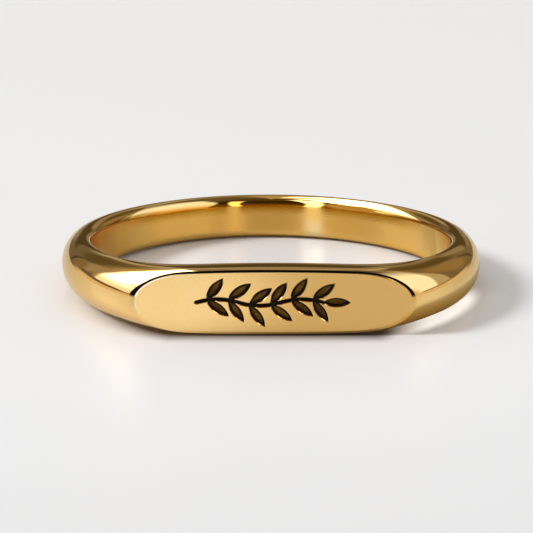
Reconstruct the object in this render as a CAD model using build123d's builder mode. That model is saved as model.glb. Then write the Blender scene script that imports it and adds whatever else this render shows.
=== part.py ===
from build123d import *
import os
from math import atan2, cos, degrees, radians, sin, sqrt, tan

# A polished gold bar ring, cast in one piece. It lies on its side: the finger hole's axis
# passes through the origin and stands nearly upright, the flat plate faces -Y, and the
# surface that the ring lies on is Z = 0. Sizes are in millimetres.

# Finger hole: round at the back and sides, flat behind the plate
hole_radius = 9.5
hole_front = 6.95        # from the hole's axis to the flat wall behind the plate
hole_corner = 5.3        # radius where the flat wall turns into the round one
rim_round = 0.25         # comfort rounding of the hole's two rims

# Band: a half round section that grows taller towards the plate
band_wall = 1.72
back_height = 2.32
side_height = 2.75
front_height = 3.54
side_dome = 0.95         # how far the half round reaches in from the outline, back and sides
front_dome = 2.35        # the same at the front, before the plate is cut
shoulder_radius = 11.83  # each shoulder's outline, seen along the hole's axis

# Plate: a flat cut across the shoulders, with a narrow bevel round it
plate_wall = 1.81        # between the hole's flat wall and the plate's face
bevel_width = 0.12

# Engraving: a leafy sprig, its stem a row of arcs, cut into the middle of the plate
engraving_depth = 0.22
bare_ends = 3.3          # plate left bare at each end of the sprig
bare_edge = 0.45         # plate left bare above and below its leaves
stem_arcs = 3
stem_rise = 0.17         # of each arc
stem_width = 0.2
leaf_pairs = 6
leaf_width = 0.48
leaf_angle = 45          # between leaf and stem, in degrees

# Loft
section_step = 30        # degrees between two sections
core_radius = 4.0        # where the sections end, within the finger hole

outer_radius = hole_radius + band_wall
shoulder_shift = shoulder_radius - outer_radius
plate_distance = hole_front + plate_wall

# Lying down, the ring touches the surface under the hole's front rim and under its back
front_touch = hole_front + rim_round
back_touch = outer_radius - side_dome
rest_tilt = atan2((front_height - back_height) / 2, front_touch + back_touch)
middle_height = front_height / 2 - front_touch * tan(rest_tilt)
hole_axis = Vector(0, sin(rest_tilt), cos(rest_tilt))
ring_plane = Plane(origin=hole_axis * middle_height, x_dir=(1, 0, 0), z_dir=hole_axis)


def in_ring(plane):
    """A plane of the level ring, moved to the ring as it lies."""
    return Plane(ring_plane.location * plane.location)


def section_height(angle):
    """Height of the band at an angle from the front, a smooth curve through three heights."""
    reach = cos(radians(angle))
    slope = (front_height - back_height) / 2
    bend = (front_height + back_height) / 2 - side_height
    return side_height + slope * reach + bend * reach**2


def section_dome(angle):
    """How far the half round reaches in from the outline at an angle from the front."""
    share = (1 + cos(radians(angle))) / 2
    return side_dome + (front_dome - side_dome) * share**3


def outline_radius(angle):
    """From the hole's axis to the band's outline at an angle from the front."""
    if cos(radians(angle)) <= 0:
        return outer_radius
    sideways = abs(sin(radians(angle))) * shoulder_shift
    return sqrt(shoulder_radius**2 - shoulder_shift**2 + sideways**2) - sideways


def section_plane(angle):
    """A plane through the hole's axis, with X outwards and Y along the axis."""
    turn = radians(angle)
    return in_ring(Plane(
        origin=(0, 0, 0),
        x_dir=(sin(turn), -cos(turn), 0),
        z_dir=(-cos(turn), -sin(turn), 0),
    ))


# The sprig, drawn flat, with the middle of the plate as its origin
plate_plane = in_ring(Plane(
    origin=(0, -plate_distance, 0), x_dir=(1, 0, 0), z_dir=(0, -1, 0)
))
plate_half = sqrt(shoulder_radius**2 - plate_distance**2) - shoulder_shift
sprig_half = plate_half - bare_ends
leaf_reach = front_height / 2 - bevel_width - bare_edge - stem_rise
leaf_length = leaf_reach / sin(radians(leaf_angle))
stem_length = 2 * sprig_half - leaf_length
arc_length = stem_length / stem_arcs

with BuildLine() as stem:
    for i in range(stem_arcs):
        start = i * arc_length - sprig_half
        SagittaArc((start, 0), (start + arc_length, 0), stem_rise * (-1) ** i)
stem_line = stem.wire()

with BuildSketch() as leaf:
    with BuildLine():
        SagittaArc((0, 0), (leaf_length, 0), leaf_width / 2)
        SagittaArc((0, 0), (leaf_length, 0), -leaf_width / 2)
    make_face()

with BuildPart() as ring_body:
    # Half of the band, lofted past its two ends so that both halves meet smoothly
    for angle in range(-section_step, 180 + 2 * section_step, section_step):
        half_height = section_height(angle) / 2
        dome = section_dome(angle)
        dome_start = outline_radius(angle) - dome
        with BuildSketch(section_plane(angle)):
            with BuildLine():
                EllipticalCenterArc(
                    (dome_start, 0), dome, half_height, start_angle=-90, arc_size=180
                )
                Polyline(
                    (dome_start, half_height), (core_radius, half_height),
                    (core_radius, -half_height), (dome_start, -half_height),
                )
            make_face()
    loft()
    split(bisect_by=Plane.YZ, keep=Keep.TOP)
    mirror(about=Plane.YZ)

    # The finger hole and its rounded rims
    with BuildSketch(ring_plane) as finger_hole:
        Circle(hole_radius)
        with Locations((0, -hole_front)):
            Rectangle(
                2 * hole_radius, hole_radius,
                align=(Align.CENTER, Align.MAX), mode=Mode.SUBTRACT,
            )
        fillet(finger_hole.vertices(), hole_corner)
    extrude(amount=front_height, both=True, mode=Mode.SUBTRACT)
    rims = ring_body.edges(Select.LAST).filter_by(
        lambda edge: abs(edge.tangent_at(0.5).dot(hole_axis)) < 0.5
    )
    fillet(rims, rim_round)

    # The plate and its bevel
    with BuildSketch(ring_plane):
        with Locations((0, -plate_distance)):
            Rectangle(
                2 * shoulder_radius, shoulder_radius, align=(Align.CENTER, Align.MAX)
            )
    extrude(amount=front_height, both=True, mode=Mode.SUBTRACT)
    plate_face = ring_body.faces(Select.LAST).sort_by(Axis.Y)[0]
    chamfer(plate_face.edges(), bevel_width)

    # The engraved sprig: stem, pairs of leaves and one leaf at the tip
    with BuildSketch(plate_plane):
        SlotArc(stem_line, stem_width)
        for i in range(leaf_pairs):
            share = (i + 0.5) / leaf_pairs
            base = stem_line @ share
            along = stem_line % share
            heading = degrees(atan2(along.Y, along.X))
            for side in (-leaf_angle, leaf_angle):
                with Locations(Location((base.X, base.Y), heading + side)):
                    add(leaf.sketch)
        with Locations((stem_length - sprig_half, 0)):
            add(leaf.sketch)
    extrude(amount=-engraving_depth, mode=Mode.SUBTRACT)

ring_body.part.label = "ring_body"
os.makedirs("parts", exist_ok=True)
export_step(ring_body.part, "parts/ring_body.step")
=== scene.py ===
import bmesh
import bpy
import numpy as np
from math import atan2, cos, pi, radians, sin, sqrt, tan
from mathutils import Matrix, Vector
from mathutils.geometry import delaunay_2d_cdt


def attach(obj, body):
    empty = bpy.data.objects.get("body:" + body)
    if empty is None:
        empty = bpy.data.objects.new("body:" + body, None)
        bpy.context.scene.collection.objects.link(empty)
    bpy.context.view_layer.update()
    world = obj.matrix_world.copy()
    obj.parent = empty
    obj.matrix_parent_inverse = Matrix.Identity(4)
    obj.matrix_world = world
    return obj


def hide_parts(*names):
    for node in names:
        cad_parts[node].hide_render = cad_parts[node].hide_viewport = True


# A polished gold bar ring that lies on its side. Lengths are in millimetres until a mesh is
# made, and the ring is drawn level, with its hole's axis as Z and its plate facing -Y.
MILLIMETRE = 0.001

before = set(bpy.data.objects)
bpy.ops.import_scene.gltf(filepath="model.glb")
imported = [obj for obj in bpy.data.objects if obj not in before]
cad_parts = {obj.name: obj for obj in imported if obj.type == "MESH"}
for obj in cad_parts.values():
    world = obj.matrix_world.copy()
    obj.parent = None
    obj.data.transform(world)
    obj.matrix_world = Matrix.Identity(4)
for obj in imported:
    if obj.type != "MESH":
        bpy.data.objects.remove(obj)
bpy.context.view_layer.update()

# Finger hole
hole_radius = 9.6
hole_front = 6.95
hole_corner = 5.3
rim_round = 0.3
back_rim_depth = 0.22      # added to the rim's depth at the back
back_rim_share = 0.95      # of the band's flat top, which the rim takes up at the back

# Band
band_wall = 1.62
back_height = 2.32
side_height = 2.75
front_height = 3.54
side_dome = 0.95
front_dome = 2.35
shoulder_radius = 11.83
crown_line = 8.25          # behind the plate the half round starts on this straight line
crown_blend = 0.12         # how softly it joins the round start of the sides
crown_bend = 0.07          # of the faint crown on the band's front
crown_top = 8.1            # how far forward that crown is highest
edge_fall = 0.012          # of the softened edge above the plate
edge_reach = 0.3           # how far back that edge is softened

# Plate and engraving
plate_wall = 1.81
engraving_depth = 0.22
bare_ends = 3.3
bare_edge = 0.45
bevel_width = 0.12
stem_arcs = 3
stem_rise = 0.17
stem_width = 0.2
leaf_pairs = 6
leaf_width = 0.48
leaf_angle = radians(45)

# The engraving's section: distances in from the sprig's outline, with the depth at each. It
# starts with a soft lip outside the outline
lip_width = 0.04
lip_depth = 0.014
groove_reaches = (-lip_width, 0.0, 0.022, 0.05, 0.1, 0.24)
groove_depths = (0.0, lip_depth, 0.1, 0.165, 0.19, engraving_depth)

outer_radius = hole_radius + band_wall
shoulder_shift = shoulder_radius - outer_radius
plate_distance = hole_front + plate_wall

# How the ring lies: it touches the floor under the hole's front rim and under its back
front_touch = hole_front + rim_round
back_touch = outer_radius - side_dome
rest_tilt = atan2((front_height - back_height) / 2, front_touch + back_touch)
middle_height = front_height / 2 - front_touch * tan(rest_tilt)
lying = Matrix((
    (1, 0, 0),
    (0, cos(rest_tilt), sin(rest_tilt)),
    (0, -sin(rest_tilt), cos(rest_tilt)),
))
ring_centre = lying @ Vector((0, 0, middle_height)) * MILLIMETRE

# How finely the ring is drawn
plate_steps = 150          # along half of the plate's edge
band_steps = 225           # from the plate's tip to the middle of the back
spread_of_steps = 0.08     # how much closer together they are near the plate
wall_steps = 3             # up half of the finger hole's wall
rim_steps = 14             # round a rim
dome_steps = 38            # from a rim to the widest line
wall_rows = wall_steps + 1       # rows of the brushed wall, which ends on the upper rim
low_wall_rows = wall_steps + 12  # the same below the wall's middle

# How finely the engraving is drawn
groove_lines = (lip_width, 0.0, -0.022, -0.05)
floor_line = -0.08         # its floor has points of its own from this far inside the outline
groove_step = 0.025
corner_room = 0.12         # share of a step that a line's points keep from the grid's corners
lip_snap = 0.004           # points this near to the lip's edge count as on it

# The plate's bevel: a narrow slope whose inner edge is softened by polishing
bevel_slope = tan(radians(30))
bevel_soft = 0.05
marked_reach = 1.0         # how far from the bevel the band is marked with its distance


def section_height(angle):
    """The band's height at an angle from the front."""
    reach = np.cos(angle)
    slope = (front_height - back_height) / 2
    bend = (front_height + back_height) / 2 - side_height
    return side_height + slope * reach + bend * reach**2


def section_dome(angle):
    """How far the half round reaches in from the outline."""
    share = (1 + np.cos(angle)) / 2
    return side_dome + (front_dome - side_dome) * share**3


def turned(angle, low, high):
    """0 up to low degrees from the front, 1 from high on and smooth between them."""
    share = np.clip((np.degrees(np.abs(angle)) - low) / (high - low), 0, 1)
    return share * share * (3 - 2 * share)


def outline_reach(angle):
    """From the hole's axis to the band's outline."""
    sideways = np.abs(np.sin(angle)) * shoulder_shift
    shoulder = np.sqrt(shoulder_radius**2 - shoulder_shift**2 + sideways**2) - sideways
    return np.where(np.cos(angle) > 0, shoulder, outer_radius)


def dome_start(angle):
    """From the hole's axis to where the half round starts. Behind the plate it starts on
    a straight line."""
    round_start = outline_reach(angle) - section_dome(angle)
    straight = crown_line / np.maximum(np.cos(angle), 0.1)
    gap = (straight - round_start) / crown_blend
    return round_start - crown_blend * np.logaddexp(0, -gap)


def rim_width(angle):
    """How far the hole's rounded rim reaches into the band's top."""
    room = dome_start(angle) - hole_reach(angle) - rim_round
    return rim_round + back_rim_share * np.maximum(room, 0) * turned(angle, 50, 140)


def rim_depth(angle):
    """How far the hole's rounded rim reaches down its wall."""
    return rim_round + back_rim_depth * turned(angle, 60, 150)


def hole_reach(angle, outside=0.0):
    """From the hole's axis to the hole's outline, or to a line a little outside it."""
    corner_ring = hole_radius - hole_corner
    corner_y = hole_front - hole_corner
    corner_x = sqrt(corner_ring**2 - corner_y**2)
    ahead = np.cos(angle)
    aside = np.abs(np.sin(angle))
    facing = aside * corner_x + ahead * corner_y
    square = facing**2 - corner_ring**2 + (hole_corner + outside) ** 2
    corner = facing + np.sqrt(np.maximum(square, 0))
    flat = (hole_front + outside) / np.maximum(ahead, 1e-6)
    front = np.where(flat * aside <= corner_x, flat, corner)
    return np.where(np.abs(angle) < atan2(corner_x, corner_y), front, hole_radius + outside)


def front_fall(angle, reach):
    """How far the band's front lies below its section: a faint crown from the hole to the
    plate, and an edge softened by polishing above the plate."""
    ahead = reach * np.cos(angle)
    crown = crown_bend / 2 * (ahead - crown_top) ** 2
    edge = edge_fall * np.clip((ahead - plate_distance + edge_reach) / edge_reach, 0, 1) ** 2
    return (crown + edge) * (1 - turned(angle, 30, 62))


def dome_height(angle, reach):
    """Half the band's height at a distance from the hole's axis."""
    start = dome_start(angle)
    share = np.clip((reach - start) / (outline_reach(angle) - start), 0, 1)
    return (section_height(angle) / 2 - front_fall(angle, reach)) * np.sqrt(1 - share**2)


def outside_band(x, y, z):
    """Negative inside the uncut band, positive outside."""
    angle = np.arctan2(x, -y)
    reach = np.hypot(x, y)
    start = dome_start(angle)
    share = np.maximum((reach - start) / (outline_reach(angle) - start), 0)
    half = section_height(angle) / 2 - front_fall(angle, reach)
    return share**2 + (z / half) ** 2 - 1


def bevel_depth(out):
    """How deep the bevel lies at a distance out from its inner edge."""
    soft = out**2 / (2 * bevel_soft)
    return bevel_slope * np.where(out < bevel_soft, soft, out - bevel_soft / 2)


def plate_edge():
    """A quarter of the bevel, from the plate's middle to its tip: its inner points, their
    outward directions on the plate, and how far out each meets the band."""
    plate_half = sqrt(shoulder_radius**2 - plate_distance**2) - shoulder_shift
    x = plate_half * np.sin(np.linspace(0, pi / 2, 4001))
    z = dome_height(np.arctan2(x, plate_distance), np.hypot(x, plate_distance))
    z[-1] = 0
    length = np.concatenate([[0], np.cumsum(np.hypot(np.diff(x), np.diff(z)))])
    even = np.linspace(0, length[-1], plate_steps + 1)
    x, z = np.interp(even, length, x), np.interp(even, length, z)
    along_x, along_z = np.gradient(x), np.gradient(z)
    along_x[0], along_z[0] = 1, 0
    along_x[-1], along_z[-1] = 0, -1
    size = np.hypot(along_x, along_z)
    out_x, out_z = -along_z / size, along_x / size
    low, high = np.zeros_like(x), np.full_like(x, 0.8)
    for _ in range(40):
        middle = (low + high) / 2
        far = middle - bevel_width
        over = outside_band(
            x + out_x * far, bevel_depth(middle) - plate_distance, z + out_z * far
        ) > 0
        low, high = np.where(over, low, middle), np.where(over, middle, high)
    return x - out_x * bevel_width, z - out_z * bevel_width, out_x, out_z, low


def band_columns(angle, end):
    """The band's outside in each column, from the rim to its end: distances and heights."""
    start = hole_reach(angle, rim_width(angle))
    round_start = dome_start(angle)
    dome = outline_reach(angle) - round_start
    turn = np.linspace(0, 1, 400)[:, None]
    share = np.clip((end - round_start) / dome, 0, 1)
    psi = turn * np.arcsin(share)
    reach = round_start + dome * np.sin(psi)
    height = section_height(angle) / 2 * np.cos(psi)
    flat = np.minimum(end, round_start) - start
    step = np.hypot(np.diff(reach, axis=0), np.diff(height, axis=0))
    length = np.vstack([np.zeros_like(flat), np.cumsum(step, axis=0)]) + flat
    rows_reach = np.empty((dome_steps + 1, len(angle)))
    rows_height = np.empty_like(rows_reach)
    for column in range(len(angle)):
        at = np.linspace(0, length[-1, column], dome_steps + 1)
        bent = np.interp(at, length[:, column], psi[:, column])
        on_dome = at > flat[column]
        rows_reach[:, column] = np.where(
            on_dome, round_start[column] + dome[column] * np.sin(bent), start[column] + at
        )
        rows_height[:, column] = np.cos(bent)
    rows_height *= section_height(angle) / 2 - front_fall(angle, rows_reach)
    return rows_reach, rows_height


def edge_gaps(band, outer):
    """Each grid point's distance from the bevel's outer line, and the share of it."""
    gaps = np.full(band.shape[:2], marked_reach)
    for point in outer:
        gaps = np.minimum(gaps, np.linalg.norm(band - point, axis=-1))
    return np.stack([gaps, gaps / marked_reach], axis=-1)


def quarter_of_band(edge):
    """Grid points of the band's upper right quarter and of its bevel, with their marks."""
    in_x, in_z, out_x, out_z, width = edge
    outs = np.concatenate([np.linspace(0, bevel_soft, 4), [1.0]])[:, None]
    outs = np.where(outs < 1, np.minimum(outs, width), width)
    bevel = np.stack([
        in_x + out_x * outs, bevel_depth(outs) - plate_distance, in_z + out_z * outs
    ], axis=-1)
    outer = bevel[-1]
    plate_angles = np.arctan2(outer[:, 0], -outer[:, 1])
    tip = plate_angles[-1]
    share = np.linspace(0, 1, band_steps + 1)[1:]
    closer = (1 - spread_of_steps) * share + spread_of_steps * share**2
    band_angles = tip + (pi - tip) * closer
    angle = np.concatenate([plate_angles, band_angles])
    end = np.concatenate([np.hypot(outer[:, 0], outer[:, 1]), outline_reach(band_angles)])
    half = section_height(angle) / 2
    start_fall = front_fall(angle, hole_reach(angle, rim_width(angle)))
    rows = []
    for step in range(wall_steps):
        share = step / wall_steps
        rows.append((hole_reach(angle), (half - rim_depth(angle)) * share))
    for step in range(rim_steps):
        turn = pi / 2 * step / rim_steps
        rows.append((
            hole_reach(angle, rim_width(angle) * (1 - cos(turn))),
            half - rim_depth(angle) * (1 - sin(turn)) - sin(turn) * start_fall,
        ))
    reach, height = band_columns(angle, end)
    rows.extend(zip(reach, height))
    reach = np.array([row[0] for row in rows])
    height = np.array([row[1] for row in rows])
    height[0] = 0
    height[-1, len(plate_angles) - 1:] = 0
    band = np.stack([reach * np.sin(angle), -reach * np.cos(angle), height], axis=-1)
    band[:, -1, 0] = 0
    band[-1, :len(plate_angles)] = outer
    band[:, 0, 0] = 0
    bevel[:, 0, 0] = 0
    around = np.broadcast_to(angle * hole_radius, height.shape)
    band_marks = np.stack([around, height / half], axis=-1)
    band_marks = np.concatenate([band_marks, edge_gaps(band, outer)], axis=-1)
    along = np.broadcast_to(np.arange(len(width)) / len(width), outs.shape)
    bevel_marks = np.stack([along, outs / width, 0 * outs, 0 * outs], axis=-1)
    return band, bevel, band_marks, bevel_marks


def stem_points():
    """Points along the sprig's stem, with its direction at each."""
    length, half = sprig_lengths()
    arc = length / stem_arcs
    radius = (arc**2 / 4 + stem_rise**2) / (2 * stem_rise)
    spread = np.arcsin(arc / 2 / radius)
    points, headings = [], []
    for index in range(stem_arcs):
        side = (-1) ** index
        turn = np.linspace(-spread, spread, 61)[: 61 if index == stem_arcs - 1 else 60]
        middle = (index + 0.5) * arc - half
        points.extend(zip(
            middle + radius * np.sin(turn),
            side * (stem_rise - radius + radius * np.cos(turn)),
        ))
        headings.extend(-side * turn)
    return np.array(points), np.array(headings)


def sprig_lengths():
    """The stem's length, and half the sprig's."""
    plate_half = sqrt(shoulder_radius**2 - plate_distance**2) - shoulder_shift
    half = plate_half - bare_ends
    return 2 * half - leaf_length(), half


def leaf_length():
    """A leaf's length, from its base on the stem to its tip."""
    reach = front_height / 2 - bevel_width - bare_edge - stem_rise
    return reach / sin(leaf_angle)


def sprig_distance(x, z):
    """How far a point of the plate is from the sprig's outline, negative inside it."""
    length, half = sprig_lengths()
    points, headings = stem_points()
    gaps = np.full(x.shape, 1e3)
    for a, b in zip(points[:-1], points[1:]):
        run = b - a
        along = np.clip(((x - a[0]) * run[0] + (z - a[1]) * run[1]) / (run @ run), 0, 1)
        gaps = np.minimum(gaps, np.hypot(x - a[0] - along * run[0], z - a[1] - along * run[1]))
    gaps = gaps - stem_width / 2
    leaf = leaf_length()
    radius = (leaf**2 / 4 + leaf_width**2 / 4) / leaf_width
    bases = [((length - half, 0.0), 0.0)]
    for index in range(leaf_pairs):
        at = (index + 0.5) / leaf_pairs * (len(points) - 1)
        base = [np.interp(at, np.arange(len(points)), points[:, k]) for k in (0, 1)]
        heading = np.interp(at, np.arange(len(points)), headings)
        bases += [(base, heading - leaf_angle), (base, heading + leaf_angle)]
    for base, heading in bases:
        u = (x - base[0]) * cos(heading) + (z - base[1]) * sin(heading) - leaf / 2
        v = (z - base[1]) * cos(heading) - (x - base[0]) * sin(heading)
        lens = np.hypot(u, np.abs(v) + radius - leaf_width / 2) - radius
        gaps = np.minimum(gaps, lens)
    return gaps


def outline_edges(field, xs, zs, level):
    """The line where a field crosses a level: its points, and the pairs that it joins."""
    above = field > level
    points, pairs, known = [], [], {}

    def crossing(a, b):
        key = (a, b) if a < b else (b, a)
        if key not in known:
            (i, j), (k, m) = key
            share = (level - field[i, j]) / (field[k, m] - field[i, j])
            share = min(max(share, corner_room), 1 - corner_room)
            known[key] = len(points)
            points.append((
                xs[i] + (xs[k] - xs[i]) * share, zs[j] + (zs[m] - zs[j]) * share
            ))
        return known[key]

    count = (
        above[:-1, :-1].astype(int) + above[1:, :-1] + above[1:, 1:] + above[:-1, 1:]
    )
    for i, j in zip(*np.nonzero((count > 0) & (count < 4))):
        corners = [(i, j), (i + 1, j), (i + 1, j + 1), (i, j + 1)]
        crossed = [
            crossing(a, b) for a, b in zip(corners, corners[1:] + corners[:1])
            if above[a] != above[b]
        ]
        for a, b in zip(crossed[::2], crossed[1::2]):
            pairs.append((a, b))
    return points, pairs


def groove_depth(gap):
    """How deep the engraving is at a distance from its outline."""
    return np.interp(-gap, groove_reaches, groove_depths)


def plate_mesh(inner):
    """The plate inside its bevel, with the engraving: its points, triangles, zones and
    marks."""
    half_x = sprig_lengths()[1] + 0.15
    half_z = front_height / 2 - bevel_width - 0.1
    xs = np.arange(-half_x, half_x, groove_step)
    zs = np.arange(-half_z, half_z, groove_step)
    field = sprig_distance(*np.meshgrid(xs, zs, indexing="ij"))
    points = [tuple(p) for p in inner]
    edges = [(i, (i + 1) % len(points)) for i in range(len(points))]
    for level in groove_lines:
        more, pairs = outline_edges(field, xs, zs, level)
        edges += [(a + len(points), b + len(points)) for a, b in pairs]
        points += more
    for i, j in zip(*np.nonzero(field < floor_line)):
        if i % 2 == 0 and j % 2 == 0:
            points.append((xs[i], zs[j]))
    made = delaunay_2d_cdt(
        [Vector(p) for p in points], edges, [list(range(len(inner)))], 1, 1e-5
    )
    flat = np.array([tuple(p) for p in made[0]])
    triangles = [list(face) for face in made[2]]
    gaps = sprig_distance(flat[:, 0], flat[:, 1])
    gaps = np.where(np.abs(gaps - lip_width) < lip_snap, lip_width, gaps)
    depth = groove_depth(gaps)
    centres = flat[np.array(triangles)].mean(axis=1)
    middle = sprig_distance(centres[:, 0], centres[:, 1])
    zones = np.where(middle > lip_width, 2, np.where(middle > 0, 3, 4))
    solid = np.stack([flat[:, 0], depth - plate_distance, flat[:, 1]], axis=-1)
    marks = np.stack([flat[:, 0], depth, 0 * depth, 0 * depth], axis=-1)
    return solid, triangles, zones, marks


def ring_mesh():
    """The whole ring's points, faces and zones, with marks that its finishes use. Zones: 0
    band, 1 bevel, 2 plate, 3 lip, 4 groove, 5 inner wall."""
    edge = plate_edge()
    band, bevel, band_marks, bevel_marks = quarter_of_band(edge)
    points, faces, zones, marks = [], [], [], []

    def add_grid(grid, grid_marks, zone, flip_x, flip_z):
        rows, columns = grid.shape[:2]
        first = sum(len(p) for p in points)
        points.append(grid.reshape(-1, 3) * (flip_x, 1, flip_z))
        marks.append(grid_marks.reshape(-1, 4) * (flip_x, flip_z, 1, 1))
        index = first + np.arange(rows * columns).reshape(rows, columns)
        quads = np.stack([
            index[:-1, :-1], index[:-1, 1:], index[1:, 1:], index[1:, :-1]
        ], axis=-1).reshape(-1, 4)
        faces.extend(quads.tolist())
        zones.extend([zone] * len(quads))

    for flip_x in (1, -1):
        for flip_z in (1, -1):
            end = wall_rows if flip_z > 0 else low_wall_rows
            add_grid(band[:end + 1], band_marks[:end + 1], 5, flip_x, flip_z)
            add_grid(band[end:], band_marks[end:], 0, flip_x, flip_z)
            add_grid(bevel, bevel_marks, 1, flip_x, flip_z)
    inner = bevel[0][:, [0, 2]]
    loop = np.concatenate([
        inner[:-1], (inner * (1, -1))[::-1][:-1],
        (inner * (-1, -1))[:-1], (inner * (-1, 1))[::-1][:-1],
    ])
    solid, triangles, plate_zones, plate_marks = plate_mesh(loop)
    first = sum(len(p) for p in points)
    points.append(solid)
    faces.extend([[v + first for v in face] for face in triangles])
    zones.extend(plate_zones.tolist())
    marks.append(plate_marks)
    return np.concatenate(points), faces, zones, np.concatenate(marks)


def build_ring():
    """The ring's object, in its place."""
    points, faces, zones, marks = ring_mesh()
    lie = np.array(lying)
    placed = (points @ lie.T) * MILLIMETRE + np.array(ring_centre)
    mesh = bpy.data.meshes.new("bar_ring")
    mesh.from_pydata(placed.tolist(), [], faces)
    mesh.attributes.new("zone", "INT", "FACE").data.foreach_set("value", zones)
    corners = np.empty(len(mesh.loops), dtype=np.int32)
    mesh.loops.foreach_get("vertex_index", corners)
    for name, column in (("finish", 0), ("edge", 2)):
        layer = mesh.uv_layers.new(name=name)
        layer.data.foreach_set("uv", marks[corners, column:column + 2].ravel())
    form = bmesh.new()
    form.from_mesh(mesh)
    zone = form.faces.layers.int["zone"]
    bmesh.ops.remove_doubles(form, verts=form.verts, dist=2e-7)
    bmesh.ops.dissolve_degenerate(form, edges=form.edges, dist=1e-8)
    bmesh.ops.recalc_face_normals(form, faces=form.faces)
    for face in form.faces:
        face.smooth = True
        face.material_index = finish_of_zone[face[zone]]
    for line in form.edges:
        touching = {face[zone] for face in line.link_faces}
        if len(touching) > 1 and touching != {0, 5}:
            line.smooth = False
    form.to_mesh(mesh)
    form.free()
    ring = bpy.data.objects.new("bar_ring", mesh)
    bpy.context.scene.collection.objects.link(ring)
    return ring


class Nodes:
    """Short ways to add nodes to a tree. Inputs are sockets or plain values."""

    def __init__(self, tree):
        self.tree = tree

    def add(self, kind, **settings):
        node = self.tree.nodes.new(kind)
        for name, value in settings.items():
            setattr(node, name, value)
        return node

    def feed(self, socket, value):
        if isinstance(value, bpy.types.NodeSocket):
            self.tree.links.new(value, socket)
        else:
            socket.default_value = value

    def filled(self, kind, values, **settings):
        """A node with its first inputs filled in turn."""
        node = self.add(kind, **settings)
        for socket, value in zip(node.inputs, values):
            self.feed(socket, value)
        return node.outputs

    def named(self, kind, inputs, **settings):
        """A node with its inputs filled by name."""
        node = self.add(kind, **settings)
        for name, value in inputs.items():
            self.feed(node.inputs[name], value)
        return node.outputs

    def maths(self, operation, *values):
        return self.filled("ShaderNodeMath", values, operation=operation)[0]

    def times(self, value, *others):
        for other in others:
            value = self.maths("MULTIPLY", value, other)
        return value

    def vectors(self, operation, *values):
        return self.filled("ShaderNodeVectorMath", values, operation=operation)

    def length(self, vector):
        return self.vectors("LENGTH", vector)["Value"]

    def split(self, vector):
        """The X, Y and Z of a vector."""
        return tuple(self.filled("ShaderNodeSeparateXYZ", [vector]))

    def ramp(self, value, low, high, start=0.0, end=1.0):
        """From start at low to end at high, smooth between them and level beyond."""
        values = (value, low, high, start, end)
        return self.filled("ShaderNodeMapRange", values, interpolation_type="SMOOTHSTEP")[0]

    def mix(self, share, first, second, kind="RGBA"):
        inputs = {"Factor": share, "A": first, "B": second}
        return self.named("ShaderNodeMix", inputs, data_type=kind)["Result"]

    def fade(self, value, low, high, first, second):
        """The first colour at low and the second at high."""
        return self.mix(self.ramp(value, low, high), first, second)

    def place(self):
        """Where a point is, in metres."""
        return self.add("ShaderNodeTexCoord").outputs["Object"]

    def marks(self, name):
        """The marks that the mesh carries under a name."""
        return self.add("ShaderNodeUVMap", uv_map=name).outputs[0]

    def noise(self, place, scale, detail):
        inputs = {"Vector": place, "Scale": scale, "Detail": detail}
        return self.named("ShaderNodeTexNoise", inputs)["Fac"]

    def stretched(self, place, scale):
        return self.vectors("MULTIPLY", place, scale)["Vector"]

    def group(self, tree, **values):
        return self.named("ShaderNodeGroup", values, node_tree=tree)

    def bump(self, height, distance):
        inputs = {"Height": height, "Distance": distance, "Strength": 1.0}
        return self.named("ShaderNodeBump", inputs)["Normal"]


def new_group(name, inputs, outputs):
    """An empty shader group with named sockets: its nodes, inputs and outputs."""
    tree = bpy.data.node_groups.new(name, "ShaderNodeTree")
    for side, sockets in (("INPUT", inputs), ("OUTPUT", outputs)):
        for label, kind in sockets.items():
            tree.interface.new_socket(label, in_out=side, socket_type="NodeSocket" + kind)
    nodes = Nodes(tree)
    return nodes, nodes.add("NodeGroupInput").outputs, nodes.add("NodeGroupOutput").inputs


def gold_tone_group():
    """The alloy's faint drift of colour between a lighter and a deeper gold."""
    nodes, given, out = new_group(
        "gold_tone", {"Light": "Color", "Deep": "Color", "Scale": "Float"}, {"Color": "Color"}
    )
    cloud = nodes.noise(nodes.place(), given["Scale"], 3.0)
    nodes.feed(out["Color"], nodes.fade(cloud, 0.35, 0.65, given["Light"], given["Deep"]))
    return nodes.tree


def fine_grain_group():
    """The even, fine grain that a polishing or blasting medium leaves."""
    nodes, given, out = new_group(
        "fine_grain", {"Scale": "Float"}, {"Height": "Float", "Shade": "Float"}
    )
    place = nodes.place()
    grain = nodes.noise(place, given["Scale"], 3.0)
    coarse = nodes.noise(place, nodes.times(given["Scale"], 0.17), 2.0)
    nodes.feed(out["Height"], nodes.maths("ADD", grain, nodes.times(coarse, 0.6)))
    nodes.feed(out["Shade"], nodes.ramp(grain, 0.3, 0.7))
    return nodes.tree


def buffed_lines_group():
    """Hairlines that run along the band, from buffing it as it turns."""
    nodes, given, out = new_group(
        "buffed_lines",
        {"Across": "Float", "Along": "Float"},
        {"Height": "Float", "Wear": "Float"},
    )
    marks = nodes.marks("finish")
    scale = nodes.filled("ShaderNodeCombineXYZ", (given["Along"], given["Across"]))[0]
    lines = nodes.noise(nodes.stretched(marks, scale), 1.0, 4.0)
    slow = nodes.noise(nodes.stretched(marks, (0.9, 1.3, 1.0)), 1.0, 2.0)
    nodes.feed(out["Height"], lines)
    wear = nodes.times(nodes.ramp(lines, 0.45, 0.75), nodes.ramp(slow, 0.35, 0.7))
    nodes.feed(out["Wear"], wear)
    return nodes.tree


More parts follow.
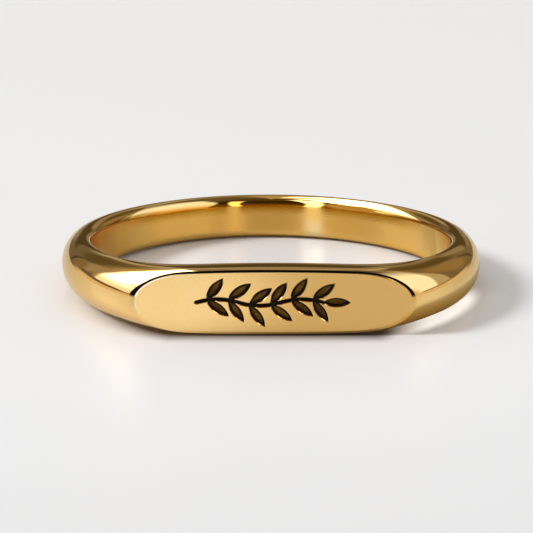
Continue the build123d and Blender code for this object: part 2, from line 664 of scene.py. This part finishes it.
def new_material(name):
    """A material with only its shader and output."""
    material = bpy.data.materials.new(name)
    material.use_nodes = True
    nodes = Nodes(material.node_tree)
    nodes.tree.nodes.clear()
    output = nodes.add("ShaderNodeOutputMaterial")
    shader = nodes.add("ShaderNodeBsdfPrincipled")
    nodes.tree.links.new(shader.outputs["BSDF"], output.inputs["Surface"])
    return material, nodes, shader.inputs


# Painted dark reflection along the plate's upper edge, on the band and the bevel:
# a near black that hardly shines
painted_black = (0.004, 0.003, 0.001, 1)
painted_black_gloss = 0.03
less_metal = -0.9          # added to a full Metallic there


def painted_dark_line(nodes, x, z):
    """The painted dark reflection on the band beside the plate's upper edge, wider at its left end.
    """
    gap = nodes.split(nodes.marks("edge"))[0]
    width = nodes.times(
        nodes.ramp(z, 0.00305, 0.0022, -0.02, 0.16), nodes.ramp(x, 0.002, -0.003, 0.1, 1.0)
    )
    near = nodes.ramp(nodes.maths("SUBTRACT", gap, width), 0.02, -0.02)
    return nodes.times(near, nodes.ramp(z, 0.00204, 0.0022))


def painted_lip_reflection(nodes, place, depth):
    """Where the rim at the back turns down to the inner wall, whose deep gold is painted on it as a
    reflection.
    """
    height = nodes.maths("ABSOLUTE", nodes.split(nodes.marks("finish"))[1])
    return nodes.times(
        nodes.ramp(height, 0.86, 0.74),
        nodes.ramp(nodes.length(place), 0.0105, 0.0104),
        nodes.ramp(depth, 0.001, 0.003),
    )


def polished_gold():
    """Mirror-polished band with faint buffing lines, a painted dark reflection beside the plate's
    upper edge, and a painted reflection of the wall's deep gold on the lip of its rim at the back."""
    material, nodes, shader = new_material("polished_gold")
    tone = nodes.group(
        gold_tone, Light=(1.0, 0.69, 0.29, 1), Deep=(0.97, 0.65, 0.26, 1), Scale=420.0
    )
    lines = nodes.group(buffed_lines, Across=26.0, Along=0.35)
    grain = nodes.group(fine_grain, Scale=9000.0)
    place = nodes.place()
    x, y, z = nodes.split(place)
    dark = painted_dark_line(nodes, x, z)
    # Painted reflection of the wall's deep gold on the rim's lip: orange in the middle, darker at
    # the right and left
    lip = nodes.fade(x, 0.0056, 0.0072, (1.0, 0.61, 0.18, 1), (0.32, 0.15, 0.012, 1))
    lip = nodes.fade(x, -0.0056, -0.0074, lip, (0.4, 0.19, 0.015, 1))
    colour = nodes.mix(painted_lip_reflection(nodes, place, y), tone["Color"], lip)
    nodes.feed(shader["Base Color"], nodes.mix(dark, colour, painted_black))
    nodes.feed(shader["Metallic"], nodes.maths("MULTIPLY_ADD", dark, less_metal, 1.0))
    shader["Specular IOR Level"].default_value = painted_black_gloss
    rough = nodes.maths("MULTIPLY_ADD", lines["Wear"], 0.05, 0.035)
    nodes.feed(shader["Roughness"], nodes.maths("MULTIPLY_ADD", grain["Shade"], 0.015, rough))
    nodes.feed(shader["Normal"], nodes.bump(lines["Height"], 1.5e-7))
    return material


# The two light bars on the inner wall: where each stands, in millimetres along the wall from
# its front (30.16 is its back, and less than 0 is left), and how far it fades to each side
right_bar = (27.65, 0.85, 0.2)
left_bar = (-28.2, 0.6, 0.15)


def light_bar(nodes, along, middle, outer, inner):
    """A mask of an upright bar on the inner wall."""
    return nodes.ramp(nodes.maths("ABSOLUTE", nodes.maths("SUBTRACT", along, middle)), outer, inner)


def wall_ends(nodes, marks, along, around):
    """The inner wall's colour: painted shade on its left and, less, its right, short of the back,
    painted reflections at both ends, paler at the right, and painted dark streaks near them.
    """
    tone = nodes.group(
        gold_tone, Light=(1.0, 0.65, 0.2, 1), Deep=(0.97, 0.62, 0.175, 1), Scale=260.0
    )
    left_end = nodes.times(
        nodes.ramp(along, -24.8, -20.8, 0.0, 0.75), nodes.ramp(along, 0.0, -1.0)
    )
    colour = nodes.mix(left_end, tone["Color"], (0.62, 0.39, 0.1, 1))
    right_back = nodes.times(
        nodes.ramp(along, 27.0, 24.0, 0.0, 0.3), nodes.ramp(along, 0.0, 1.0)
    )
    colour = nodes.mix(right_back, colour, (0.75, 0.48, 0.14, 1))
    ends = nodes.fade(along, -1.0, 1.0, (0.98, 0.64, 0.15, 1), (1.0, 0.84, 0.42, 1))
    beside = nodes.ramp(around, 8.0, 12.0)
    at_end = nodes.times(beside, nodes.ramp(around, 22.0, 17.0))
    colour = nodes.mix(at_end, colour, ends)
    streaks = nodes.noise(nodes.stretched(marks, (0.6, 0.4, 1.0)), 1.0, 1.0)
    streaks = nodes.times(
        nodes.ramp(streaks, 0.44, 0.58), nodes.ramp(around, 21.5, 18.5), beside, 0.4
    )
    return nodes.mix(streaks, colour, (0.62, 0.4, 0.1, 1))


def brushed_inside():
    """Inner wall: turned, so its fine lines run round the hole and draw light up and down. Painted
    shade makes it deep amber under the rim, but for two light bars at the back, the right one with
    a painted highlight, and painted shade makes it dim at the floor."""
    material, nodes, shader = new_material("brushed_inside")
    marks = nodes.marks("finish")
    along, height, _ = nodes.split(marks)
    around = nodes.maths("ABSOLUTE", along)
    colour = wall_ends(nodes, marks, along, around)
    right, left = (light_bar(nodes, along, *bar) for bar in (right_bar, left_bar))
    between = nodes.maths("SUBTRACT", 1.0, nodes.maths("MAXIMUM", right, left))
    # Painted shade under the rim, kept off the light bars; a painted highlight low on the right bar
    amber = nodes.times(nodes.ramp(height, 0.1, 0.6), nodes.ramp(around, 19.0, 24.0), between)
    pale = nodes.times(right, nodes.ramp(height, 0.3, -0.4))
    colour = nodes.mix(pale, colour, (1.0, 0.75, 0.39, 1))
    colour = nodes.mix(amber, colour, (0.58, 0.27, 0.015, 1))
    # Painted shade where the wall meets the floor
    colour = nodes.fade(height, -0.8, -1.0, colour, (0.6, 0.39, 0.12, 1))
    nodes.feed(shader["Base Color"], colour)
    lines = nodes.group(buffed_lines, Across=60.0, Along=0.25)
    shader["Metallic"].default_value = 1
    rough = nodes.maths("MULTIPLY_ADD", lines["Wear"], 0.06, 0.3)
    smoother = nodes.times(amber, -0.18)
    nodes.feed(shader["Roughness"], nodes.maths("ADD", rough, smoother))
    shader["Anisotropic"].default_value = 0.92
    shader["Anisotropic Rotation"].default_value = 0.25
    tangent = nodes.add("ShaderNodeTangent", direction_type="UV_MAP", uv_map="finish")
    nodes.feed(shader["Tangent"], tangent.outputs[0])
    nodes.feed(shader["Normal"], nodes.bump(lines["Height"], 8e-7))
    return material


def painted_bevel():
    """The plate's bevel. Above the plate's widest line it is a painted dark reflection but for its
    inner edge, which carries a painted highlight at the left. Below that line it is polished, with
    painted shade towards the right and a painted pale highlight at the left."""
    material, nodes, shader = new_material("painted_bevel")
    across = nodes.maths("ABSOLUTE", nodes.split(nodes.marks("finish"))[1])
    x, _, z = nodes.split(nodes.place())
    tone = nodes.group(
        gold_tone, Light=(1.0, 0.75, 0.38, 1), Deep=(0.98, 0.7, 0.32, 1), Scale=420.0
    )
    grain = nodes.group(fine_grain, Scale=9000.0)
    # Painted dark reflection above the widest line, painted highlights at the left, painted shade
    # below on the right
    upper = nodes.ramp(z, 0.002, 0.0022)
    lower = nodes.ramp(z, 0.0022, 0.002)
    bright_line = nodes.ramp(nodes.maths("ABSOLUTE", x), 0.0035, 0.0062, 0.04, 0.34)
    outside_line = nodes.ramp(nodes.maths("SUBTRACT", across, bright_line), -0.08, 0.08)
    dark = nodes.times(upper, outside_line)
    lower_right = nodes.times(lower, nodes.ramp(x, -0.006, -0.003))
    lower_left = nodes.times(
        lower, nodes.ramp(x, -0.004, -0.006),
        nodes.ramp(across, 0.32, 0.1), nodes.ramp(z, 0.0005, 0.0018),
    )
    colour = nodes.mix(lower_right, tone["Color"], (0.9, 0.57, 0.2, 1))
    colour = nodes.mix(lower_left, colour, (1.0, 0.88, 0.62, 1))
    colour = nodes.mix(dark, colour, painted_black)
    pale = nodes.times(
        upper, nodes.maths("SUBTRACT", 1.0, outside_line), nodes.ramp(x, -0.0035, -0.0058)
    )
    nodes.feed(shader["Base Color"], nodes.mix(pale, colour, (1.0, 0.9, 0.68, 1)))
    metal = nodes.maths("MULTIPLY_ADD", dark, less_metal, 1.0)
    nodes.feed(shader["Metallic"], nodes.maths("MULTIPLY_ADD", pale, less_metal, metal))
    rough = nodes.maths("MULTIPLY_ADD", grain["Shade"], 0.03, 0.06)
    nodes.feed(shader["Roughness"], nodes.maths("MULTIPLY_ADD", pale, 0.5, rough))
    shader["Specular IOR Level"].default_value = painted_black_gloss
    return material


def satin_gold():
    """The plate's face: an even satin with a fine grain, with painted light making it lighter
    towards its left end and painted shade along its foot."""
    material, nodes, shader = new_material("satin_gold")
    x, _, z = nodes.split(nodes.place())
    tone = nodes.group(
        gold_tone, Light=(1.0, 0.74, 0.36, 1), Deep=(1.0, 0.72, 0.33, 1), Scale=380.0
    )
    grain = nodes.group(fine_grain, Scale=16000.0)
    # Painted light and shade: lighter towards the left end, darker along the foot
    face = nodes.fade(x, -0.0055, 0.003, tone["Color"], (1.0, 0.645, 0.24, 1))
    foot = nodes.times(nodes.ramp(z, 0.00025, 0.0001), 0.6)
    face = nodes.mix(foot, face, (0.7, 0.42, 0.12, 1))
    face = nodes.mix(nodes.times(grain["Shade"], 0.14), face, (0.8, 0.52, 0.2, 1))
    nodes.feed(shader["Base Color"], face)
    shader["Metallic"].default_value = 1
    nodes.feed(shader["Roughness"], nodes.maths("MULTIPLY_ADD", grain["Shade"], 0.05, 0.14))
    nodes.feed(shader["Normal"], nodes.bump(grain["Height"], 6e-7))
    return material


def dark_engraving():
    """The engraving: black at its walls, dark brown gold on its floor."""
    material, nodes, shader = new_material("dark_engraving")
    depth = nodes.split(nodes.marks("finish"))[1]
    grain = nodes.group(fine_grain, Scale=7000.0)
    tone = nodes.group(
        gold_tone, Light=(0.2, 0.1, 0.012, 1), Deep=(0.1, 0.045, 0.005, 1), Scale=1500.0
    )
    floor_share = nodes.ramp(depth, 0.178, 0.212)
    colour = nodes.mix(floor_share, (0.006, 0.003, 0.001, 1), tone["Color"])
    colour = nodes.mix(nodes.times(grain["Shade"], 0.35), colour, (0.03, 0.014, 0.003, 1))
    nodes.feed(shader["Base Color"], colour)
    nodes.feed(shader["Metallic"], nodes.times(floor_share, 0.6))
    shader["Specular IOR Level"].default_value = 0.12
    nodes.feed(shader["Roughness"], nodes.maths("MULTIPLY_ADD", grain["Shade"], 0.15, 0.3))
    nodes.feed(shader["Normal"], nodes.bump(grain["Height"], 1e-5))
    return material


class FloorSpot:
    """A point of the floor: where it is, in metres as X and Y and in millimetres from the
    ring's middle, how far it is outside the hole, and which rays reach it."""

    def __init__(self, nodes):
        self.nodes = nodes
        paths = nodes.add("ShaderNodeLightPath").outputs
        self.mirrored, self.seen = paths["Is Glossy Ray"], paths["Is Camera Ray"]
        self.place = nodes.place()
        self.x, self.y, _ = nodes.split(self.place)
        self.radius = nodes.times(nodes.length(self.place), 1000.0)
        self.before = nodes.times(self.y, -1000.0)
        foot = self.beyond(7.4, 9.5)
        self.outside, self.inside = nodes.ramp(foot, -0.1, 0.1), nodes.ramp(foot, 0.1, -0.1)

    def beyond(self, front, back):
        """How far outside an outline it is that is straight in front and round behind."""
        nodes = self.nodes
        ahead = nodes.maths("SUBTRACT", self.before, front)
        return nodes.maths("MAXIMUM", ahead, nodes.maths("SUBTRACT", self.radius, back))


def floor_tone(nodes, spot, warm):
    """The floor's colour, with painted shade a little darker nearer the camera. In the gold's
    reflections it is painted darker and warmer, most of all beside the right shoulder."""
    far, near = (0.8, 0.8, 0.807, 1), (0.745, 0.745, 0.752, 1)
    colour = nodes.fade(spot.y, -0.012, -0.045, far, near)
    colour = nodes.mix(spot.mirrored, colour, (0.625, 0.612, 0.545, 1))
    return nodes.mix(warm, colour, (0.54, 0.45, 0.2, 1))


def contact_shade(nodes, spot, warm):
    """How dark the floor is along the ring's foot in front and, faintly, inside the hole."""
    seen = nodes.times(
        nodes.ramp(spot.x, 0.007, 0.0056), nodes.ramp(spot.x, -0.0105, -0.006, 0.1, 1.0)
    )
    mirrored = nodes.times(nodes.ramp(spot.x, -0.006, 0.0), nodes.ramp(warm, 0.6, 0.0))
    along_foot = nodes.times(
        nodes.mix(spot.mirrored, seen, mirrored, "FLOAT"),
        spot.outside,
        nodes.ramp(spot.before, 0.0, 3.0),
        nodes.ramp(spot.beyond(8.2, 9.7), 2.0, 0.2, 0.0, 0.86),
    )
    aside = nodes.maths("ABSOLUTE", spot.x)
    in_hole = nodes.times(spot.inside, nodes.ramp(aside, 0.006, 0.001, 0.0, 0.14))
    return nodes.maths("MAXIMUM", along_foot, in_hole)


def thrown_light(nodes, spot):
    """Light that the ring throws on the floor: a crescent under the right shoulder, with a
    faint spill outside it, and a bar inside the hole."""
    crescent = nodes.times(
        nodes.ramp(spot.radius, 11.5, 10.6), nodes.ramp(spot.x, 0.0058, 0.0085), 0.82
    )
    spill = nodes.times(nodes.ramp(spot.radius, 13.5, 10.5), nodes.ramp(spot.x, 0.006, 0.0105))
    under_shoulder = nodes.times(
        nodes.maths("MULTIPLY_ADD", spill, 0.16, crescent),
        nodes.ramp(spot.before, -1.0, 2.5),
        spot.outside,
    )
    aside = nodes.maths("ABSOLUTE", nodes.maths("SUBTRACT", spot.x, 0.0024))
    bar = nodes.times(
        spot.inside, nodes.ramp(spot.y, 0.002, 0.0045), nodes.ramp(aside, 0.001, 0.0003, 0.0, 0.13)
    )
    return nodes.times(nodes.maths("ADD", under_shoulder, bar), spot.seen)


def painted_card_glow(nodes, spot):
    """A glow painted on the floor in front of the plate, standing for a bright card, that only the
    gold's reflections see.
    """
    card = nodes.vectors("MULTIPLY_ADD", spot.place, (150.0, 85.0, 0.0), (0.78, 1.6, 0.0))
    off = nodes.length(card["Vector"])
    return nodes.times(nodes.ramp(off, 1.2, 0.4, 0.0, 0.33), spot.mirrored)


def floor():
    """A pale, faintly glossy floor that reaches to the horizon. The painted shadow along the ring's
    foot, the painted glow of the light that the ring throws and the painted card before the plate
    are drawn in its material."""
    mesh = bpy.data.meshes.new("floor")
    half = 6.0
    corners = [(-half, -half, 0), (half, -half, 0), (half, half, 0), (-half, half, 0)]
    mesh.from_pydata(corners, [], [(0, 1, 2, 3)])
    plane = bpy.data.objects.new("floor", mesh)
    bpy.context.scene.collection.objects.link(plane)
    material, nodes, shader = new_material("pale_floor")
    spot = FloorSpot(nodes)
    # Painted warm reflection of the floor beside the right shoulder, seen only in the gold
    warm = nodes.times(
        spot.mirrored, nodes.ramp(spot.x, 0.0045, 0.0085), nodes.ramp(spot.radius, 13.5, 11.5)
    )
    colour = floor_tone(nodes, spot, warm)
    colour = nodes.mix(contact_shade(nodes, spot, warm), colour, (0.04, 0.02, 0.004, 1))
    nodes.feed(shader["Base Color"], colour)
    glow = nodes.maths("MULTIPLY_ADD", thrown_light(nodes, spot), 0.78, painted_card_glow(nodes, spot))
    nodes.feed(shader["Emission Strength"], glow)
    shader["Emission Color"].default_value = (1.0, 0.97, 0.93, 1)
    shader["Roughness"].default_value = 0.3
    shader["Specular IOR Level"].default_value = 0.4
    mesh.materials.append(material)


def direction(azimuth, elevation):
    """A direction from the ring. Azimuth 0 is in front, 90 at the right."""
    turn, rise = radians(azimuth), radians(elevation)
    return Vector((sin(turn) * cos(rise), -cos(turn) * cos(rise), sin(rise)))


# The light that falls on the floor: shares of the warm studio, and an even fill that
# balances it
studio_on_floor = (0.1, 0.1, 0.105)
even_fill = (0.6, 0.604, 0.61)
backdrop = (0.86, 0.855, 0.855, 1)

# Patches of the studio, painted in turn: azimuth and elevation, half width and half height
# in degrees, how square, how soft, and the light's colour
back_patches = (
    ((-67, 28), (27, 30), 2.5, 0.4, (0.48, 0.35, 0.16)),
    ((180, 60), (4.5, 27), 2.5, 0.5, (0.42, 0.35, 0.2)),
)
right_softbox = ((102, 20), (61, 49), 3.0, 0.12)
left_softbox = ((-127.5, 42), (50, 33), 6.0, 0.08)
front_patches = (
    ((147, 0), (42, 44), 2.0, 0.05, (0.5, 0.45, 0.36)),
    ((-168, 64), (10, 12), 2.0, 0.4, (0.66, 0.53, 0.27)),
    ((-150, 0), (33, 42.5), 2.3, 0.1, (0.45, 0.35, 0.2)),
    ((-150, 0), (30, 37), 2.3, 0.25, (0.16, 0.135, 0.09)),
    ((-133, 24), (9, 14), 2.0, 0.7, (0.34, 0.29, 0.22)),
    ((-155, 27), (14, 8), 2.0, 0.7, (0.11, 0.085, 0.04)),
    ((-140, 12), (7, 10), 2.0, 0.7, (0.22, 0.17, 0.1)),
    ((-148, 11), (1.6, 9), 2.0, 0.5, (0.08, 0.065, 0.04)),
    ((-176, 3), (9, 10), 2.0, 0.7, (0.26, 0.22, 0.17)),
    ((147, 0), (29.5, 42), 2.3, 0.06, (0.19, 0.15, 0.085)),
    ((138, 24), (11, 14), 2.0, 0.7, (0.29, 0.21, 0.11)),
    ((160, 31), (10, 9), 2.0, 0.7, (0.11, 0.08, 0.03)),
    ((165, 14), (6, 9), 2.0, 0.7, (0.3, 0.24, 0.15)),
    ((151, 11), (1.6, 10), 2.0, 0.5, (0.1, 0.08, 0.05)),
    ((175, 2), (8, 8), 2.0, 0.7, (0.26, 0.21, 0.15)),
    ((-178, 20), (8, 4.5), 2.0, 0.6, (0.42, 0.37, 0.27)),
    ((176, 21), (5, 5), 2.0, 0.6, (0.25, 0.2, 0.12)),
    ((180, 10.5), (20, 3.4), 2.0, 0.7, (0.08, 0.058, 0.02)),
    ((-113, 9.5), (20, 2.4), 4.0, 0.5, (0.14, 0.12, 0.09)),
    ((106, 7.5), (14, 1.8), 4.0, 0.5, (0.35, 0.27, 0.16)),
    ((-107, 0), (31, 7), 3.0, 0.6, (0.72, 0.6, 0.43)),
    ((105, 0), (34, 6), 3.0, 0.6, (0.72, 0.6, 0.43)),
)
# Upright strip lights: two directions along each, half width and upper end in degrees, and
# colour
strips = (
    ((-28.5, 14), (-44, 62), 5.0, 85, (3.0, 2.8, 2.6)),
    ((22, 12), (33, 58), 3.3, 67, (2.3, 1.75, 0.9)),
)


class Studio:
    """The studio's light in each direction, painted from back to front."""

    def __init__(self, nodes, sight):
        self.nodes, self.sight = nodes, sight
        x, y, z = nodes.split(sight)
        turn = nodes.maths("ARCTAN2", x, nodes.times(y, -1.0))
        self.azimuth = nodes.maths("DEGREES", turn)
        self.elevation = nodes.maths("DEGREES", nodes.maths("ARCSINE", z))
        self.light = self.walls()
        self.paint(back_patches)
        self.softboxes()
        self.paint(front_patches)
        self.strip_lights()

    def walls(self):
        """The dim room: darkest and most amber in front of the plate, and dim overhead."""
        nodes, elevation = self.nodes, self.elevation
        low, high = (0.2, 0.165, 0.11, 1), (0.14, 0.11, 0.06, 1)
        behind = nodes.fade(elevation, 5.0, 45.0, low, high)
        low, high = (0.22, 0.115, 0.012, 1), (0.035, 0.02, 0.003, 1)
        ahead = nodes.fade(elevation, 4.0, 52.0, low, high)
        aside = nodes.maths("ABSOLUTE", self.azimuth)
        light = nodes.fade(aside, 76.0, 92.0, ahead, behind)
        return nodes.fade(elevation, 66.0, 80.0, light, (0.08, 0.055, 0.02, 1))

    def patch(self, place, half, power, soft):
        """A mask of one patch: an ellipse, or squarer as its power grows."""
        nodes = self.nodes
        across = nodes.maths("SUBTRACT", self.azimuth, float(place[0]))
        across = nodes.maths("WRAP", across, 180.0, -180.0)
        along = nodes.maths("SUBTRACT", self.elevation, float(place[1]))
        parts = []
        for part, size in zip((across, along), half):
            share = nodes.maths("DIVIDE", nodes.maths("ABSOLUTE", part), float(size))
            parts.append(nodes.maths("POWER", share, power))
        return nodes.ramp(nodes.maths("ADD", *parts), 1 + soft, 1 - soft)

    def paint(self, patches):
        for *form, colour in patches:
            self.light = self.nodes.mix(self.patch(*form), self.light, (*colour, 1))

    def softboxes(self):
        """A cream one at the right, amber low down, and a bright one at the left, dim in the
        middle of its front end."""
        nodes, azimuth, elevation = self.nodes, self.azimuth, self.elevation
        amber, cream = (0.7, 0.42, 0.1, 1), (1.08, 1.18, 1.3, 1)
        cream = nodes.fade(elevation, 5.0, 52.0, amber, cream)
        cream = nodes.fade(azimuth, 86.0, 95.0, cream, (1.1, 1.2, 1.35, 1))
        share = nodes.times(self.patch(*right_softbox), nodes.ramp(azimuth, 170.0, 124.0))
        light = nodes.mix(share, self.light, cream)
        low, high = (1.1, 1.08, 1.05, 1), (4.2, 4.2, 4.2, 1)
        glow = nodes.fade(elevation, 17.0, 35.0, low, high)
        above_or_below = nodes.maths(
            "MAXIMUM", nodes.ramp(elevation, 32.0, 24.0), nodes.ramp(elevation, 50.0, 60.0)
        )
        edge = nodes.maths("MAXIMUM", above_or_below, nodes.ramp(azimuth, -84.0, -108.0))
        self.light = nodes.mix(nodes.times(self.patch(*left_softbox), edge), light, glow)

    def strip_lights(self):
        """Two narrow lights before the ring, each along a great circle."""
        nodes = self.nodes
        for first, second, width, top, colour in strips:
            pole = direction(*first).cross(direction(*second)).normalized()
            off = nodes.vectors("DOT_PRODUCT", self.sight, pole)["Value"]
            edge = sin(radians(width))
            mask = nodes.times(
                nodes.ramp(nodes.maths("ABSOLUTE", off), edge * 1.3, edge * 0.6),
                nodes.ramp(self.elevation, top + 9.0, top - 9.0),
                nodes.ramp(nodes.maths("ABSOLUTE", self.azimuth), 88.0, 78.0),
            )
            self.light = nodes.mix(mask, self.light, (*colour, 1))


def studio_world():
    """The studio that the gold mirrors, with a balanced light for the floor and a plain
    backdrop."""
    world = bpy.data.worlds.new("studio")
    world.use_nodes = True
    nodes = Nodes(world.node_tree)
    nodes.tree.nodes.clear()
    light = Studio(nodes, nodes.add("ShaderNodeTexCoord").outputs["Generated"]).light
    paths = nodes.add("ShaderNodeLightPath").outputs
    balanced = nodes.vectors("MULTIPLY", light, studio_on_floor)["Vector"]
    balanced = nodes.vectors("ADD", balanced, even_fill)["Vector"]
    light = nodes.mix(paths["Is Diffuse Ray"], light, balanced)
    light = nodes.mix(paths["Is Camera Ray"], light, backdrop)
    background = nodes.add("ShaderNodeBackground")
    nodes.feed(background.inputs["Color"], light)
    output = nodes.add("ShaderNodeOutputWorld")
    nodes.tree.links.new(background.outputs[0], output.inputs["Surface"])
    world.cycles.sampling_method = "NONE"
    bpy.context.scene.world = world


def lights():
    """The studio, and a soft key light from above left that no polished face mirrors."""
    studio_world()
    sun = bpy.data.lights.new("key", "SUN")
    sun.energy = 2.55
    sun.angle = radians(17)
    key = bpy.data.objects.new("key", sun)
    key.rotation_mode = "QUATERNION"
    key.rotation_quaternion = direction(-80, 38).to_track_quat("Z", "Y")
    key.visible_glossy = False
    bpy.context.scene.collection.objects.link(key)


def camera():
    """The photograph's camera, found by fitting the ring's outlines. It is given in the level
    ring's frame: its angles, its distance, and where it looks beside the ring's middle."""
    rise, yaw, roll = radians(14.385), radians(0.855), radians(0.2)
    distance = 306.06
    aside, above = -0.233, -0.302
    forward = Vector((cos(rise) * sin(yaw), cos(rise) * cos(yaw), -sin(rise)))
    right = Vector((cos(yaw), -sin(yaw), 0))
    up = right.cross(forward)
    look = aside * right + above * up
    place = lying @ (look - forward * distance) * MILLIMETRE + ring_centre
    right, up = right * cos(roll) + up * sin(roll), up * cos(roll) - right * sin(roll)
    turn = Matrix((lying @ right, lying @ up, lying @ -forward)).transposed()
    data = bpy.data.cameras.new("camera")
    data.sensor_width = 36
    data.lens = 384.3
    data.clip_start, data.clip_end = 0.01, 30
    eye = bpy.data.objects.new("camera", data)
    eye.location = place
    eye.rotation_mode = "QUATERNION"
    eye.rotation_quaternion = turn.to_quaternion()
    bpy.context.scene.collection.objects.link(eye)
    bpy.context.scene.camera = eye


gold_tone = gold_tone_group()
fine_grain = fine_grain_group()
buffed_lines = buffed_lines_group()
finishes = (polished_gold, satin_gold, dark_engraving, brushed_inside, painted_bevel)
# The finish of each zone, in the order of ring_mesh's zones
zone_finishes = (
    polished_gold, painted_bevel, satin_gold, polished_gold, dark_engraving, brushed_inside
)
finish_of_zone = [finishes.index(finish) for finish in zone_finishes]
ring = build_ring()
for finish in finishes:
    ring.data.materials.append(finish())
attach(ring, "root")
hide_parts("ring_body")
floor()
lights()
camera()
scene = bpy.context.scene
scene.view_settings.view_transform = "Standard"
scene.cycles.use_denoising = True
scene.cycles.max_bounces = 16
scene.cycles.glossy_bounces = 6
